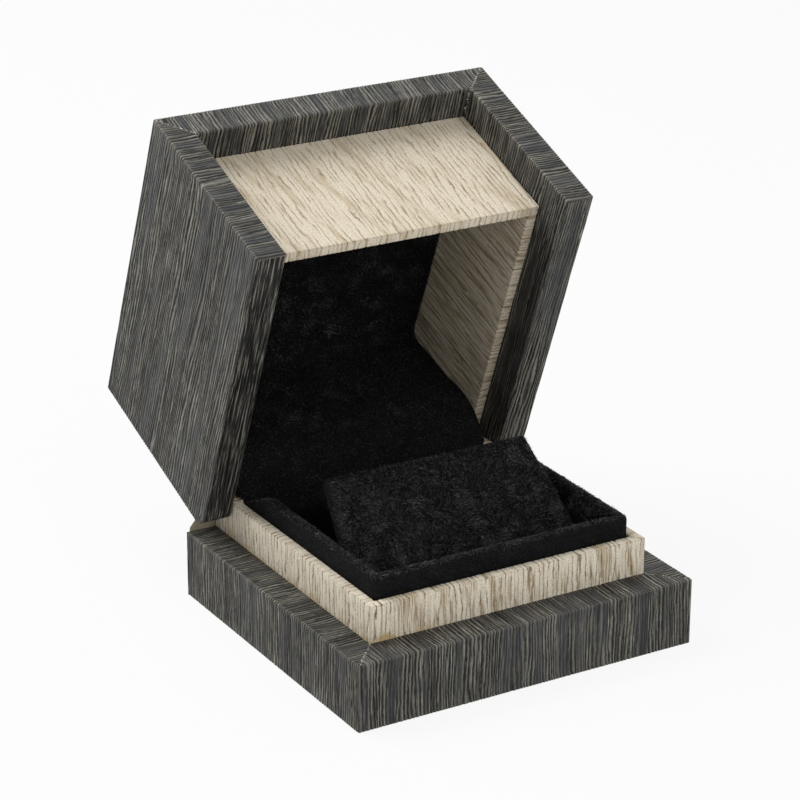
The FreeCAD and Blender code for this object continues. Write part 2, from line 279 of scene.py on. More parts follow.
class Skin:
    """A mesh in the making. Its corners carry the place on the flat sheet and on the map for export."""

    def __init__(self):
        self.points = []
        self.marks = {"relief": [], "mitre": [], "edge": []}
        self.faces = []
        self.sheet = []
        self.map = []

    def corner(self, place, sheet, spot, relief=1.0, mitre=far_from_mitre, edge=0.0):
        self.points.append(place * MM)
        for name, value in zip(self.marks, (relief, mitre, edge)):
            self.marks[name].append(value)
        return len(self.points) - 1, sheet, spot

    def face(self, *corners):
        self.faces.append([corner[0] for corner in corners])
        for _, sheet, spot in corners:
            self.sheet.extend(sheet)
            self.map.extend(spot)

    def quilt(self, grid):
        """Faces over a grid of corners, column by column."""
        for a, b in zip(grid, grid[1:]):
            for i in range(len(a) - 1):
                self.face(a[i], b[i], b[i + 1], a[i + 1])

    def zip(self, a, b):
        """Fills the strip between two edges. Each is a list of (place along it, corner)."""
        i = j = 0
        while i < len(a) - 1 or j < len(b) - 1:
            if j == len(b) - 1 or (i < len(a) - 1 and a[i + 1][0] <= b[j + 1][0]):
                self.face(a[i][1], a[i + 1][1], b[j][1])
                i += 1
            else:
                self.face(a[i][1], b[j + 1][1], b[j][1])
                j += 1

    def piece(self, name):
        """The finished mesh: corners at one place are merged, and every face points out."""
        mesh = bpy.data.meshes.new(name)
        mesh.from_pydata(self.points, [], self.faces)
        for layer, values in (("paper", self.sheet), ("OFBake", self.map)):
            mesh.uv_layers.new(name=layer).uv.foreach_set("vector", values)
        for mark, values in self.marks.items():
            mesh.attributes.new(mark, "FLOAT", "POINT").data.foreach_set("value", values)
        work = bmesh.new()
        work.from_mesh(mesh)
        bmesh.ops.remove_doubles(work, verts=work.verts, dist=1e-4 * MM)
        bmesh.ops.recalc_face_normals(work, faces=work.faces)
        work.to_mesh(mesh)
        work.free()
        return standing(name, mesh)


def standing(name, mesh):
    """An object in the scene for a mesh, smooth but for its sharp folds."""
    piece = bpy.data.objects.new(name, mesh)
    bpy.context.scene.collection.objects.link(piece)
    mesh.shade_smooth()
    mesh.set_sharp_from_angle(angle=math.radians(50))
    return piece


def lay_sheet(skin, sides, rows, place, pitch, turn, spread):
    """Lays a folded sheet along the sides of a box and round the corners between them.

    place(spot, height) sets a point in the box, pitch is between two columns, and turn is the radius
    at the corners. spread is the size of the map and the start of each side's block on it, in
    millimetres of paper. Returns the two end columns.
    """
    size, blocks = spread
    hidden_share, gap = 0.05, 0.01
    bands = [0.0]
    for a, b in zip(rows, rows[1:]):
        share = 1.0 if a.shown and b.shown else hidden_share
        bands.append(bands[-1] + abs(b.girth - a.girth) * share + gap)
    run = 0.0
    ends = []
    for number, side in enumerate(sides):
        before = sides[number - 1] if number else None
        after = sides[number + 1] if number + 1 < len(sides) else None
        first = turn if before else 0.0
        last = side.length - (turn if after else 0.0)
        count = math.ceil((last - first) / pitch)
        grid = []

        def station(spots, mitres, turned):
            column = []
            for row, band, (here, run_here), mitre in zip(rows, bands, spots, mitres):
                flat = (run + run_here, row.girth)
                mapped = ((blocks[number][0] + run_here) / size, (blocks[number][1] + band) / size)
                point = place(here, row.height)
                edge = max(row.edge, turned)
                column.append(skin.corner(point, flat, mapped, float(row.shown), mitre, edge))
            grid.append(column)

        for i in range(count + 1):
            at = first + (last - first) * i / count
            spots = []
            mitres = []
            for row in rows:
                low = before.depth(row) if before else side.first_cut(row)
                high = side.length - (after.depth(row) if after else side.last_cut(row))
                reach = min(max(at, low), high)
                here = side.start + side.along * reach + side.inward * side.depth(row)
                spots.append((here, reach))
                seams = [far_from_mitre]
                if side.depth(row) > edge_round / 2:
                    if before:
                        seams.append(abs(reach - low) * math.sqrt(0.5))
                    if after:
                        seams.append(abs(high - reach) * math.sqrt(0.5))
                mitres.append(min(seams))
            station(spots, mitres, 1.0 if i in (0, count) else 0.0)
        if after:
            corner = side.start + side.along * side.length
            mitres = [0.0 if side.depth(row) > edge_round / 2 else far_from_mitre for row in rows]
            for i in range(1, turn_steps + 1):
                angle = math.pi / 2 * i / turn_steps
                spots = []
                for row in rows:
                    deep, next_deep = side.depth(row), after.depth(row)
                    inward = max(deep, turn - (turn - deep) * math.cos(angle))
                    back = max(next_deep, turn - (turn - next_deep) * math.sin(angle))
                    here = corner + side.inward * inward + after.inward * back
                    spots.append((here, side.length - turn + 2 * turn * i / turn_steps))
                station(spots, mitres, 1.0)
        skin.quilt(grid)
        if not before:
            ends.append(grid[0])
        if not after:
            ends.append(grid[-1])
        run += side.length
    return ends


def close_sheet_end(skin, rows, column, shown):
    """Closes the end of a thin folded sheet, between its face and its back."""
    face = [(row.girth, corner) for row, corner in zip(rows[:shown], column[:shown])]
    back = [(row.girth, corner) for row, corner in zip(rows[shown:-1], column[shown:-1])]
    skin.zip(face, back[::-1])


def slab(skin, xs, ys, place, thickness, spread):
    """A thin closed sheet over a grid. place(x, y, t) is the point at t of its thickness, 0 at the face."""
    size, (left, low) = spread
    rim = 0.3

    def corner(x, y, t, over=(0.0, 0.0)):
        spot = ((left + x - xs[0] + over[0]) / size, (low + y - ys[0] + over[1]) / size)
        return skin.corner(place(x, y, t), (x, y), spot, 1.0 if t == 0 else 0.0)

    for t in (0.0, thickness):
        skin.quilt([[corner(x, y, t) for y in ys] for x in xs])
    for y, way in ((ys[0], -rim), (ys[-1], rim)):
        skin.quilt([[corner(x, y, 0.0), corner(x, y, thickness, (0.0, way))] for x in xs])
    for x, way in ((xs[0], -rim), (xs[-1], rim)):
        skin.quilt([[corner(x, y, 0.0), corner(x, y, thickness, (way, 0.0))] for y in ys])


def steps(low, high, step):
    count = max(1, math.ceil((high - low) / step - tiny))
    return [low + (high - low) * i / count for i in range(count + 1)]


def streaks(u, v, across, along, detail=2.0, layer=0.0):
    """Noise drawn out along the grain, its streaks about this wide and long, in millimetres.

    detail is how finely it is broken up, and each layer number gives another pattern.
    """
    place = u.node("ShaderNodeCombineXYZ", None, {"X": u / across, "Y": v / along, "Z": layer})
    return u.node("ShaderNodeTexNoise", None, {"Vector": place, "Scale": 1.0, "Detail": detail})


def dark_grain(u, v):
    """The height of the dark paper's relief, 0 to 1, its threads, their strength, and where it is calm."""
    bend = streaks(u, v, 6.0, 45.0, 1.0, 2.0) * 10 + streaks(u, v, 1.7, 10.0, 1.0, 4.0) * 3.0
    shake = streaks(u, v, 0.5, 1.4, 1.0, 6.0)
    threads = u.maths("PINGPONG", u * 2.7 + bend + shake, 1.0)
    strength = streaks(u, v, 0.7, 8.0, 2.0, 8.0)
    calm = streaks(u, v, 3.0, 60.0, 1.0, 10.0).smooth(0.5, 0.62)
    height = threads.smooth(0.05, 0.8) * (1 - calm * 0.6) + calm * 0.35
    return height, threads, strength, calm


def geometry_tree(name, sizes):
    """A new Geometry Nodes tree with a mesh input and named sizes."""
    tree = bpy.data.node_groups.new(name, "GeometryNodeTree")
    for way in ("INPUT", "OUTPUT"):
        tree.interface.new_socket("Geometry", in_out=way, socket_type="NodeSocketGeometry")
    for size in sizes:
        tree.interface.new_socket(size, in_out="INPUT", socket_type="NodeSocketFloat")
    return Wire(tree).node("NodeGroupInput")


def end_tree(geometry, surface):
    solid = geometry.node("GeometryNodeRealizeInstances", None, {"Geometry": geometry})
    dressed = geometry.node("GeometryNodeSetMaterial", None, {"Geometry": solid, "Material": surface})
    geometry.node("NodeGroupOutput", None, {"Geometry": dressed})


def grown(name, source, start, sizes):
    """Runs a tree on a mesh and keeps the result as a plain mesh of its own."""
    modifier = source.modifiers.new("grow", "NODES")
    modifier.node_group = start.tree
    for item in start.tree.interface.items_tree:
        if item.in_out == "INPUT" and item.name in sizes:
            modifier[item.identifier] = sizes[item.name]
    graph = bpy.context.evaluated_depsgraph_get()
    graph.update()
    mesh = bpy.data.meshes.new_from_object(source.evaluated_get(graph), depsgraph=graph)
    source.modifiers.remove(modifier)
    mesh.name = name
    piece = bpy.data.objects.new(name, mesh)
    bpy.context.scene.collection.objects.link(piece)
    return piece


def mark_of(wire, name, kind="FLOAT"):
    return wire.node("GeometryNodeInputNamedAttribute", {"data_type": kind}, {"Name": name})


def pressing(name, grain, surface):
    """A tree that presses a paper's grain into a sheet and parts its mitres a little.

    Edge swell lifts the sheet where it turns over an edge, and Edge cut is the share by which its grain
    is deeper there, or shallower below 0.
    """
    start = geometry_tree(name, ["Grain depth", "Mitre depth", "Waviness", "Edge swell", "Edge cut"])
    flat = start.node("ShaderNodeSeparateXYZ", None, {"Vector": mark_of(start, "paper", "FLOAT_VECTOR")})
    u, v = flat, flat.also("Y")
    height = grain(u, v)[0]
    gap = 1 - mark_of(start, "mitre").smooth(0.0, 0.22)
    swell = streaks(u, v, 7.0, 7.0, 1.0, 30.0)
    edge = mark_of(start, "edge")
    cut = start.also("Grain depth") * (edge * start.also("Edge cut") + 1)
    sunk = (1 - height) * cut * (1 - gap) + gap * start.also("Mitre depth")
    sunk = sunk + swell * start.also("Waviness") - edge * start.also("Edge swell")
    normal = start.node("GeometryNodeInputNormal")
    inward = sunk * mark_of(start, "relief") * -MM
    offset = start.vectors("SCALE", {"Vector": normal, "Scale": inward})
    pressed = start.node("GeometryNodeSetPosition", None, {"Geometry": start, "Offset": offset})
    end_tree(pressed, surface)
    return start


def map_place(wire, layer):
    """The two coordinates of a map of the piece."""
    flat = wire.node("ShaderNodeUVMap", {"uv_map": layer})
    parts = wire.node("ShaderNodeSeparateXYZ", None, {"Vector": flat})
    return parts, parts.also("Y")


def shown_mark(wire, name):
    return wire.node("ShaderNodeAttribute", {"attribute_name": name}, None, "Fac")


def washed(colour, *layers):
    """Lays tones over a colour, one after the other. A layer is how much of it shows, and its tone."""
    for cover, tone in layers:
        colour = cover.tint(colour, shade(*tone))
    return colour


# The rim of the lid's left cheek is painted darker than the rest of this paper, as painted shade, and is
# marked by a relief a little below 1.
rim_shade_relief = 0.85


def dark_paper():
    made, wire = material("dark wood-grain paper")
    u, v = map_place(wire, "paper")
    height, threads, strength, calm = dark_grain(u, v)
    lively = 1 - calm * 0.5
    strands = streaks(u, v, 1.3, 22.0, 1.0, 12.0).smooth(0.38, 0.62)
    broad = streaks(u, v, 1.0, 30.0, 2.0, 52.0).smooth(0.52, 0.64) * lively
    crumbs = streaks(u, v, 0.2, 0.45, 3.0, 40.0)
    ridge = threads.smooth(0.3, 0.95) * (strength.smooth(0.3, 0.62) * 0.8 + 0.2) * (1 - calm * 0.65)
    # The left cheek's rim: painted shade darkens it, and the paper's pale streaks are laid back over it.
    rim_shade = 1 - shown_mark(wire, "relief").smooth(rim_shade_relief, 0.97)
    lit = streaks(u, v, 0.4, 10.0, 2.0, 57.0).smooth(0.54, 0.64) * (crumbs * 0.6 + 0.4)
    hair = streaks(u, v, 0.17, 7.0, 2.0, 14.0).smooth(0.57, 0.66) * lively
    furrow = (1 - threads.smooth(0.08, 0.45)) * (1 - strength.smooth(0.5, 0.8) * 0.4) * lively
    gaps = streaks(u, v, 0.19, 8.0, 2.0, 25.0).smooth(0.57, 0.65) * lively
    shadow = streaks(u, v, 2.2, 60.0, 2.0, 20.0).smooth(0.5, 0.62)
    worn = shown_mark(wire, "edge").smooth(0.96, 1.0) * crumbs.smooth(0.4, 0.65)
    mitre = shown_mark(wire, "mitre")
    seam = 1 - mitre.smooth(0.02, 0.12)
    fleck = (1 - mitre.smooth(0.05, 0.3)) * streaks(u, v, 0.5, 0.5, 2.0, 50.0).smooth(0.52, 0.58)
    specks = streaks(u, v, 0.18, 0.18, 1.0, 70.0).smooth(0.73, 0.78)
    colour = washed(
        strands.tint(shade(35, 36, 33), shade(84, 84, 78)),
        (calm, (48, 50, 54)),
        (broad * 0.6, (124, 122, 113)),
        (ridge * (crumbs * 0.8 + 0.5), (136, 133, 123)),
        (rim_shade * 0.9, (7, 7, 8)),
        (rim_shade * lit, (150, 146, 136)),
        (hair * 0.75, (176, 171, 158)),
        (furrow, (8, 8, 8)),
        (gaps * 0.8, (8, 8, 8)),
        (shadow * 0.45, (20, 21, 22)),
        (crumbs.smooth(0.35, 0.75) * 0.35, (38, 37, 34)),
        (worn * 0.2, (150, 143, 130)),
        (seam * 0.6, (40, 38, 36)),
        (fleck, (205, 196, 180)),
        (specks * 0.6, (170, 168, 162)),
    )
    surface = {"Base Color": colour, "Roughness": 0.5 - threads * 0.15, "Specular IOR Level": 0.24}
    coat(wire, surface, height + crumbs * 0.2, 0.1)
    return made


finishes["dark_paper"] = dark_paper()
press_dark = pressing("press the dark grain", dark_grain, finishes["dark_paper"])
dark_relief = {
    "Grain depth": 0.14,
    "Mitre depth": 0.13,
    "Waviness": 0.05,
    "Edge swell": 0.07,
    "Edge cut": -0.4,
}


def papered(name, skin, tree, relief):
    source = skin.piece("flat " + name)
    piece = grown(name, source, tree, relief)
    bpy.data.objects.remove(source)
    return piece


def level(spot, height):
    return Vector((spot.x, spot.y, height))


base_low, base_high = box_of("base_wrap")
plinth_low, plinth_high = box_of("plinth_wrap")
base_top = box_of("base_front_rail")[1].z + paper
ledge_front = plinth_low.y - base_low.y
ledge_side = plinth_low.x - base_low.x
base_back = base_high.y - paper

base_rows = fold_rows([
    (turn_in, base_foot, 0.0, 2.0),
    (0.0, base_foot, bottom_round, 1.2),
    (0.0, base_top, edge_round, 1.1),
    (ledge_front, base_top, 0.0, 1.0),
])
base_lined = lined(base_rows, paper)


def side_ledge_depth(row):
    """The ledge is a little narrower at the sides than at the front."""
    if row.height < base_top / 2 or row.depth < edge_round:
        return row.depth
    return edge_round + (row.depth - edge_round) * (ledge_side - edge_round) / (ledge_front - edge_round)


def back_turn_in(row):
    return row.depth if row.height < 2 * paper else 0.0


base_sides = left_front_right(base_low, base_high, base_back, back_turn_in, side_ledge_depth)
map_band = 32.0
base_map = 4 * map_band
base_blocks = [(0, 0), (0, map_band), (0, 2 * map_band)]
skin = Skin()
ends = lay_sheet(skin, base_sides, base_lined, level, grain_pitch, edge_round, (base_map, base_blocks))
for end in ends:
    close_sheet_end(skin, base_lined, end, len(base_rows))

back_rows = [0.0, 0.1] + steps(1.0, base_top - 1.0, 1.2) + [base_top - 0.1, base_top]
tab_half = box_of("base_back_board")[1].x
tab_rows = steps(base_top, base_high.z, 1.2)


def back_sheet(x, height, t):
    return Vector((x, base_high.y - t, height))


for left, right, rows, block in (
    (base_low.x, base_high.x, back_rows, 3 * map_band),
    (-tab_half, tab_half, tab_rows, 3.5 * map_band),
):
    slab(skin, steps(left, right, grain_pitch), rows, back_sheet, paper, (base_map, (0, block)))
base_paper = papered("base_dark_paper", skin, press_dark, dark_relief)
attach(base_paper, "base")
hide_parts("base_wrap")


# Light oak paper covers the plinth that stands inside the ledge. It comes up from behind the ledge,
# goes over the rim and down into the well. The side walls are stepped down at the back to clear the
# hinge, and dried glue has stained the paper's foot.
oak_round = 0.3
plain_fade = 5.0
glue_ends = (62.0, 80.0)


def oak_grain(u, v):
    """The height of the oak paper's relief, 0 to 1, its grooves, how deep they are cut, and its pores."""
    bend = streaks(u, v, 5.0, 40.0, 1.0, 1.0) * 6 + streaks(u, v, 1.6, 9.0, 1.0, 3.0) * 2.8
    shake = streaks(u, v, 0.6, 1.6, 1.0, 15.0)
    crumble = streaks(u, v, 0.3, 0.5, 2.0, 16.0)
    cords = u.maths("PINGPONG", u * 1.7 + bend + shake + crumble * 0.4, 1.0)
    cut = streaks(u, v, 0.7, 4.5, 2.0, 5.0)
    pores = streaks(u, v, 0.16, 1.8, 2.0, 7.0)
    groove = (1 - cords.smooth(0.0, 0.45)) * cut.smooth(0.3, 0.6)
    height = 1 - groove * 0.8 - (1 - pores.smooth(0.3, 0.42)) * 0.2
    return height, groove, cut, pores


def oak_paper(name, cream, groove_tone, crack_tone, folds, on_plinth):
    """A light oak paper. folds are the two places along the sheet where it turns the front corners.

    On the plinth the left side is plainer than the front, and glue has stained the foot. In the lid the
    two side walls carry brown streaks, partly grain and partly painted shade.
    """
    made, wire = material(name)
    u, v = map_place(wire, "paper")
    height, groove, cut, pores = oak_grain(u, v)
    figure = streaks(u + v * 0.2, v, 2.2, 22.0, 2.0, 9.0)
    vein = streaks(u + v * 0.45, v, 1.1, 9.0, 2.0, 19.0).smooth(0.56, 0.66)
    tan = figure.smooth(0.47, 0.68) * 0.8 + vein * 0.2
    hair = streaks(u, v, 0.14, 4.0, 3.0, 11.0)
    tooth = streaks(u, v, 0.2, 0.35, 3.0, 60.0)
    crack = groove.smooth(0.6, 0.95) * cut.smooth(0.54, 0.66) * tooth.smooth(0.3, 0.55)
    pits = streaks(u, v, 0.28, 0.4, 1.0, 90.0).smooth(0.66, 0.74)
    edge = shown_mark(wire, "edge").smooth(0.96, 1.0)
    if on_plinth:
        front = u.smooth(folds[0] - plain_fade, folds[0] + plain_fade)
        tan = tan * (front * 0.5 + 0.5)
        # On the plinth the rounded edges take a darker tone, partly wear and partly painted shade from the
        # lid.
        edge_wear_and_shade_tone = (120, 100, 72)
        fine = streaks(u, v, 0.3, 8.0, 3.0, 110.0).smooth(0.48, 0.6)
        fine = fine * (figure.smooth(0.42, 0.62) * 0.6 + 0.25) * (front * 0.6 + 0.4)
        blot = streaks(u, v, 5.0, 5.0, 2.0, 80.0).smooth(0.35, 0.75) * 1.9
        glued = 1 - u.smooth(*glue_ends)
        foot = (1 - (v - blot).smooth(-0.5, 0.7)) * glued * (front * 0.35 + 0.4)
        local = [(fine, (140, 118, 84)), (foot, (184, 150, 84))]
    else:
        edge_wear_and_shade_tone = (140, 122, 94)
        # Brown streaks on the lid's side walls, partly grain and partly painted shade.
        side = 1 - u.smooth(folds[0], folds[0] + 1.0) + u.smooth(folds[1] - 1.0, folds[1])
        side_grain_and_shade = streaks(u, v, 0.6, 14.0, 3.0, 130.0).smooth(0.5, 0.6) * (tooth * 0.6 + 0.4)
        local = [(side * side_grain_and_shade * (0.85 - edge * 0.4), (116, 91, 62))]
    colour = washed(
        tan.tint(shade(*cream), shade(196, 177, 145)),
        (hair.smooth(0.35, 0.7) * 0.5, (236, 229, 212)),
        (groove.smooth(0.05, 0.8) * (0.5 + tooth * 0.5), groove_tone),
        (crack, crack_tone),
        ((1 - pores.smooth(0.25, 0.34)) * 0.7, crack_tone),
        (tooth.smooth(0.4, 0.7) * 0.45, (160, 146, 124)),
        (pits * 0.5, groove_tone),
        (edge * (groove * 0.6 + 0.2), edge_wear_and_shade_tone),
        *local,
    )
    surface = {"Base Color": colour, "Roughness": 0.66 - cut * 0.1, "Specular IOR Level": 0.3}
    coat(wire, surface, height + tooth * 0.15, 0.08)
    return made


plinth_depth = plinth_high.y - plinth_low.y
plinth_width = plinth_high.x - plinth_low.x
plinth_finish = oak_paper(
    "light oak paper, glue-stained at its foot",
    (243, 233, 213),
    (142, 125, 100),
    (56, 47, 38),
    (plinth_depth, plinth_depth + plinth_width),
    True,
)
press_plinth = pressing("press the plinth's oak grain", oak_grain, plinth_finish)
plinth_relief = {
    "Grain depth": 0.15,
    "Mitre depth": 0.05,
    "Waviness": 0.04,
    "Edge swell": 0.0,
    "Edge cut": -0.15,
}
thin_wall = plinth_high.x - box_of("base_back_board")[1].x
hinge_step = box_of("base_back_board")[1].z
rear_step = 1.2
plinth_rows = fold_rows([
    (0.0, plinth_low.z, 0.0, 1.0),
    (0.0, plinth_high.z, oak_round, 0.9),
    (thin_wall, plinth_high.z, oak_round, 1.6),
    (thin_wall, plinth_low.z, 0.0, 1.0),
])
plinth_lined = lined(plinth_rows, paper)


def plinth_cut(row):
    return rear_step if row.height > hinge_step else 0.0


tray_end = box_of("tray_velvet")[1].y
bulge = 1.3
bulge_from_tray = 2.6
bulge_reach = 2.4
bulge_drop = 6.0


def plinth_place(spot, height):
    """Behind the tray the paper stands off the wall into the well, most at the rim."""
    along = max(0.0, 1 - abs(spot.y - tray_end - bulge_from_tray) / bulge_reach)
    slack = along * max(0.0, 1 - abs(height - plinth_high.z) / bulge_drop)
    if abs(spot.x) > plinth_high.x - thin_wall + oak_round or spot.y < 0:
        slack = 0.0
    return Vector((spot.x - math.copysign(bulge * slack, spot.x), spot.y, height))


plinth_sides = left_front_right(plinth_low, plinth_high, plinth_high.y, plinth_cut)
plinth_spread = (62.0, [(0, 0), (0, 20), (0, 40)])
skin = Skin()
ends = lay_sheet(skin, plinth_sides, plinth_lined, plinth_place, grain_pitch, oak_round, plinth_spread)
for end in ends:
    close_sheet_end(skin, plinth_lined, end, len(plinth_rows))
plinth_paper = papered("plinth_oak_paper", skin, press_plinth, plinth_relief)
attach(plinth_paper, "base")
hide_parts("plinth_wrap")


# Plush covers the card tray: it goes from outside over the rim and down to the floor. The back wall is
# lower, where the lining comes in. The cloth is a thin woven black ground, and its pile stands on it as
# short soft fibres that were brushed this way and that.
plush_round = 0.9
cloth_step = 0.7
cloth_thickness = 0.5


def plush_ground():
    made, wire = material("black plush ground")
    place = wire.node("ShaderNodeTexCoord", None, None, "Object")
    weave = speckle(wire, place, 0.25, 3.0)
    drift = speckle(wire, place, 4.0)
    tone = (weave * 0.5 + drift * 0.5).smooth(0.3, 0.7)
    surface = {"Base Color": tone.tint(shade(6, 7, 7), shade(19, 20, 20)), "Roughness": 0.95 - weave * 0.1}
    surface["Specular IOR Level"] = 0.1
    coat(wire, surface, weave, 0.15)
    return made


def plush_pile():
    """Each fibre has its own tone across the map, and goes from root to tip along it."""
    made, wire = material("black plush pile")
    tone, tip = map_place(wire, "OFBake")
    colour = tone.smooth(0.5, 1.0).tint(shade(9, 10, 10), shade(100, 105, 100))
    # Each fibre is painted darker towards its root, as shade down among the fibres.
    colour = (tip.smooth(0.0, 0.6) * 0.8 + 0.2).tint(shade(3, 3, 3), colour)
    surface = {"Base Color": colour, "Roughness": 0.55 - tone * 0.15, "Specular IOR Level": 0.3}
    coat(wire, surface)
    return made


finishes["plush"] = plush_ground()
pile_finish = plush_pile()


def stored(geometry, name, value, domain="POINT", kind="FLOAT"):
    """The same geometry with one more named attribute."""
    settings = {"data_type": kind, "domain": domain}
    inputs = {"Geometry": geometry, "Name": name, "Value": value}
    return geometry.node("GeometryNodeStoreNamedAttribute", settings, inputs)


def random_value(wire, low, high, seed):
    kind = "FLOAT_VECTOR" if isinstance(low, tuple) else "FLOAT"
    inputs = {"Min": low, "Max": high, "Seed": seed}
    return wire.node("FunctionNodeRandomValue", {"data_type": kind}, inputs)


def pile_tree():
    """Fibres scattered over a cloth by its pile mark, each leaning with the swirl that it stands in."""
    sizes = ["Fibres per mm2", "Length", "Root radius", "Swirl", "Swirl size", "Lift"]
    start = geometry_tree("stand up the pile", sizes)
    length = start.also("Length") * MM
    root = start.also("Root radius") * MM
    density = mark_of(start, "pile") * start.also("Fibres per mm2") * MM ** -2
    scatter = {"Mesh": start, "Density": density, "Seed": 5}
    points = start.node("GeometryNodeDistributePointsOnFaces", None, scatter)
    normal = points.also("Normal")

    cone = {"Vertices": 3, "Radius Bottom": root, "Depth": length}
    fibre = start.node("GeometryNodeMeshCone", {"fill_type": "NONE"}, cone)
    place = start.node("GeometryNodeInputPosition")
    local = start.node("ShaderNodeSeparateXYZ", None, {"Vector": place})
    fibre = stored(fibre, "tip", local.also("Z") / length)
    fibre = stored(fibre, "round", (local + local.also("Y") * 0.6) / root)

    swirl_noise = {"Vector": place, "Scale": (1 / MM) / start.also("Swirl size"), "Detail": 2.0}
    swirl = start.node("ShaderNodeTexNoise", None, swirl_noise, "Color")
    centred = start.vectors("SUBTRACT", {0: swirl, 1: (0.5, 0.5, 0.5)})
    combed = start.vectors("SCALE", {"Vector": centred, "Scale": start.also("Swirl")})
    loose = random_value(start, (-0.5, -0.5, -0.5), (0.5, 0.5, 0.5), 11)
    lean = start.vectors("ADD", {0: combed, 1: loose})
    along = start.vectors("SUBTRACT", {0: lean, 1: start.vectors("PROJECT", {0: lean, 1: normal})})
    upright = start.vectors("SCALE", {"Vector": normal, "Scale": start.also("Lift")})
    way = start.vectors("ADD", {0: upright, 1: along})
    turn = start.node("FunctionNodeAlignRotationToVector", {"axis": "Z"}, {"Vector": way})
    size = random_value(start, 0.6, 1.25, 3) * mark_of(start, "pile height")
    planting = {"Points": points, "Instance": fibre, "Rotation": turn, "Scale": size}
    stood = start.node("GeometryNodeInstanceOnPoints", None, planting)
    stood = stored(stood, "tone", random_value(start, 0.0, 1.0, 8), "INSTANCE")

    real = stood.node("GeometryNodeRealizeInstances", None, {"Geometry": stood})
    across = mark_of(start, "tone") * 0.97 + mark_of(start, "round") * 0.004 + 0.01
    upward = mark_of(start, "tip") * 0.98 + 0.01
    spot = start.node("ShaderNodeCombineXYZ", None, {"X": across, "Y": upward})
    mapped = stored(real, "OFBake", spot, "CORNER", "FLOAT2")
    for name in ("tip", "round", "tone", "pile", "pile height"):
        mapped = mapped.node("GeometryNodeRemoveAttribute", None, {"Geometry": mapped, "Name": name})
    end_tree(mapped, pile_finish)
    return start


grow_pile = pile_tree()
pile_size = {
    "Fibres per mm2": 26.0,
    "Root radius": 0.065,
    "Swirl": 5.0,
    "Swirl size": 4.5,
    "Lift": 0.3,
}


def cloth(skin, name, length, where):
    """A finished cloth piece and its pile of this length.

    where(point, normal) says how dense the fibres are there and how long, both 0 to 1.
    """
    ground = skin.piece(name)
    face = [mark.value for mark in ground.data.attributes["relief"].data]
    for layer in ("paper", "OFBake"):
        ground.data.uv_layers.remove(ground.data.uv_layers[layer])
    for mark in ("relief", "mitre", "edge"):
        ground.data.attributes.remove(ground.data.attributes[mark])
    ground.data.materials.append(finishes["plush"])
    stands = [where(v.co / MM, v.normal) for v in ground.data.vertices]
    marks = {
        "pile": [density * shown for (density, _), shown in zip(stands, face)],
        "pile height": [height for _, height in stands],
    }
    for mark, values in marks.items():
        ground.data.attributes.new(mark, "FLOAT", "POINT").data.foreach_set("value", values)
    sizes = {"Length": length, **pile_size}
    pile = grown(name + "_pile", ground, grow_pile, sizes)
    for mark in marks:
        ground.data.attributes.remove(ground.data.attributes[mark])
    return ground, pile


tray_low, tray_high = box_of("tray_velvet")
card_left = box_of("tray_left_wall")
tray_wall = card_left[1].x - card_left[0].x + 2 * cloth_thickness
turn_down = 8.0
tray_lip = plinth_high.z - turn_down
tray_floor = box_of("tray_floor")[1].z + cloth_thickness
back_rim = box_of("tray_back_wall")[1].z + cloth_thickness
slope_run = 9.0
slope_start = tray_high.y - slope_run
slope_drop = 4.0
slope_ease = 0.15


def wall_rows(rim_height):
    """Plush over the top of a card wall, with its inner side going on down to the floor."""
    return fold_rows([
        (0.0, tray_lip, 0.0, 1.2),
        (0.0, rim_height, plush_round, 0.8),
        (tray_wall, rim_height, plush_round, 1.0),
        (tray_wall, tray_floor - cloth_thickness, 0.0, 2.0),
        (tray_wall - cloth_thickness, tray_floor - cloth_thickness, 0.0, 4.0),
        (tray_wall - cloth_thickness, tray_lip, 0.0, 2.0),
        (0.0, tray_lip, 0.0, 1.0),
    ])


def tray_level(spot, height):
    """The side walls run down at the back, softly at first."""
    away = (spot.y - slope_start) / slope_run
    eased = max(0.0, away + slope_ease) ** 2 / (4 * slope_ease)
    lower = slope_drop * (away if away > slope_ease else eased)
    return Vector((spot.x, spot.y, height - lower * max(0.0, height - tray_lip) / (tray_high.z - tray_lip)))


wall_sides = left_front_right(tray_low, tray_high, tray_high.y)
inner_width = tray_high.x - tray_low.x - 2 * tray_wall
back_side = [Side((tray_high.x - tray_wall, tray_high.y), (-1, 0), (0, -1), inner_width)]
no_map = (100.0, [(0, 0)] * 3)
skin = Skin()
for sides, rim_height, place in ((wall_sides, tray_high.z, tray_level), (back_side, back_rim, level)):
    for end in lay_sheet(skin, sides, wall_rows(rim_height), place, cloth_step, plush_round, no_map):
        skin.face(*end[:-1])
floor_half = tray_high.x - tray_wall + cloth_thickness / 2
floor_grid = (
    steps(-floor_half, floor_half, 1.0),
    steps(tray_low.y + tray_wall, tray_high.y - tray_wall, 1.0),
)
one_block = (100.0, (0, 0))


def tray_ground(x, y, t):
    return Vector((x, y, tray_floor - t))


slab(skin, *floor_grid, tray_ground, cloth_thickness, one_block)
shelf_back = -12.0
shelf_level = 17.5
wall_top = 20.0
wall_middle = 14.0


